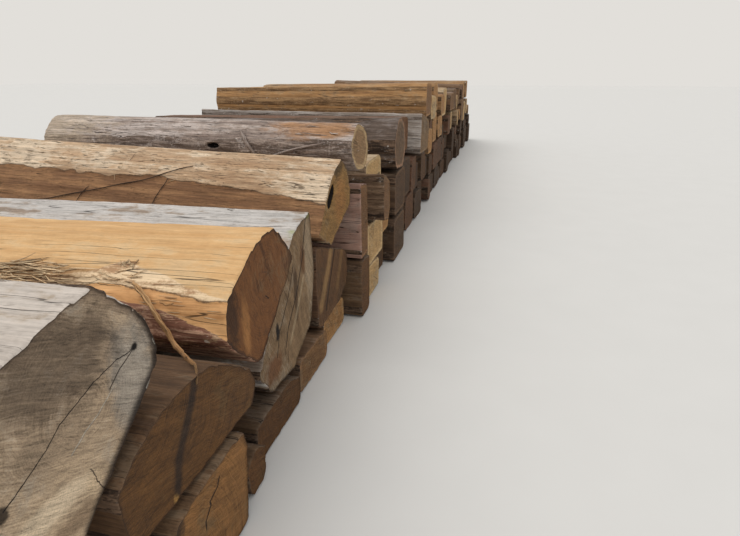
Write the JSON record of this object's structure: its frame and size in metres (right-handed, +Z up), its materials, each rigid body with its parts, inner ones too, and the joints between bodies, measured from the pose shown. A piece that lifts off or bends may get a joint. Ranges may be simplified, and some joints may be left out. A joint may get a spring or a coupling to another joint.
{
  "type": "heap of logs",
  "caption": "Row of rough hewn hardwood logs stacked in courses, butts to one side, some squared, some round, with wanes, an old chain slot and a knot hole.",
  "frame": {"origin": "centre of the row's footprint on the ground", "axes": "+X along the logs towards their butts at the aisle, +Y along the row, +Z up"},
  "size_m": [2.7666, 13.5868, 1.425],
  "materials": {
    "grey_weathered_wood": "rough sawn and hewn hardwood, grey weathered",
    "tan_peeled_wood": "rough sawn and hewn hardwood, tan peeled",
    "brown_wood": "rough sawn and hewn hardwood, brown",
    "dark_wood": "rough sawn and hewn hardwood, dark",
    "amber_wood": "rough sawn and hewn hardwood, amber",
    "pink_wood": "rough sawn and hewn hardwood, pink",
    "cream_wood": "rough sawn and hewn hardwood, cream",
    "mixed_wood": "rough sawn and hewn hardwood, mixed"
  },
  "bodies": {
    "root": {"amber_log": "amber_wood", "bay_1_ground_logs": "mixed_wood", "bay_1_second_logs": "mixed_wood", "bay_2_ground_logs": "mixed_wood", "bay_2_second_logs": "mixed_wood", "bay_2_third_logs": "mixed_wood", "bay_2_top_logs": "mixed_wood", "bay_3_ground_logs": "mixed_wood", "bay_3_second_logs": "mixed_wood", "bay_3_third_logs": "mixed_wood", "bay_3_top_logs": "mixed_wood", "bay_4_ground_logs": "mixed_wood", "bay_4_second_logs": "mixed_wood", "bay_4_third_logs": "mixed_wood", "bay_4_top_logs": "mixed_wood", "bay_5_ground_logs": "mixed_wood", "bay_5_second_logs": "mixed_wood", "bay_5_third_logs": "mixed_wood", "bay_5_top_logs": "mixed_wood", "bay_6_ground_logs": "mixed_wood", "bay_6_second_logs": "mixed_wood", "bay_6_third_logs": "mixed_wood", "bay_6_top_logs": "mixed_wood", "brown_ground_log": "brown_wood", "charcoal_log": "dark_wood", "cracked_ground_log": "brown_wood", "cream_ground_log": "cream_wood", "cream_second_log": "cream_wood", "dark_ground_log": "dark_wood", "dark_square_log": "brown_wood", "deep_ground_log": "dark_wood", "dusty_third_log": "grey_weathered_wood", "flat_grey_log": "grey_weathered_wood", "flat_ground_log": "brown_wood", "great_grey_log": "grey_weathered_wood", "grey_weathered_log": "grey_weathered_wood", "low_ground_log": "brown_wood", "peeled_tan_log": "tan_peeled_wood", "pink_upright_log": "pink_wood", "round_grey_log": "grey_weathered_wood", "rust_third_log": "amber_wood", "short_second_log": "brown_wood", "slotted_log": "cream_wood", "small_ground_log": "brown_wood", "sooty_ground_log": "dark_wood", "splintered_log": "tan_peeled_wood", "start_chock_log": "brown_wood", "tarred_ground_log": "dark_wood", "umber_second_log": "dark_wood", "wedge_log": "brown_wood"}
  },
  "joints": []
}
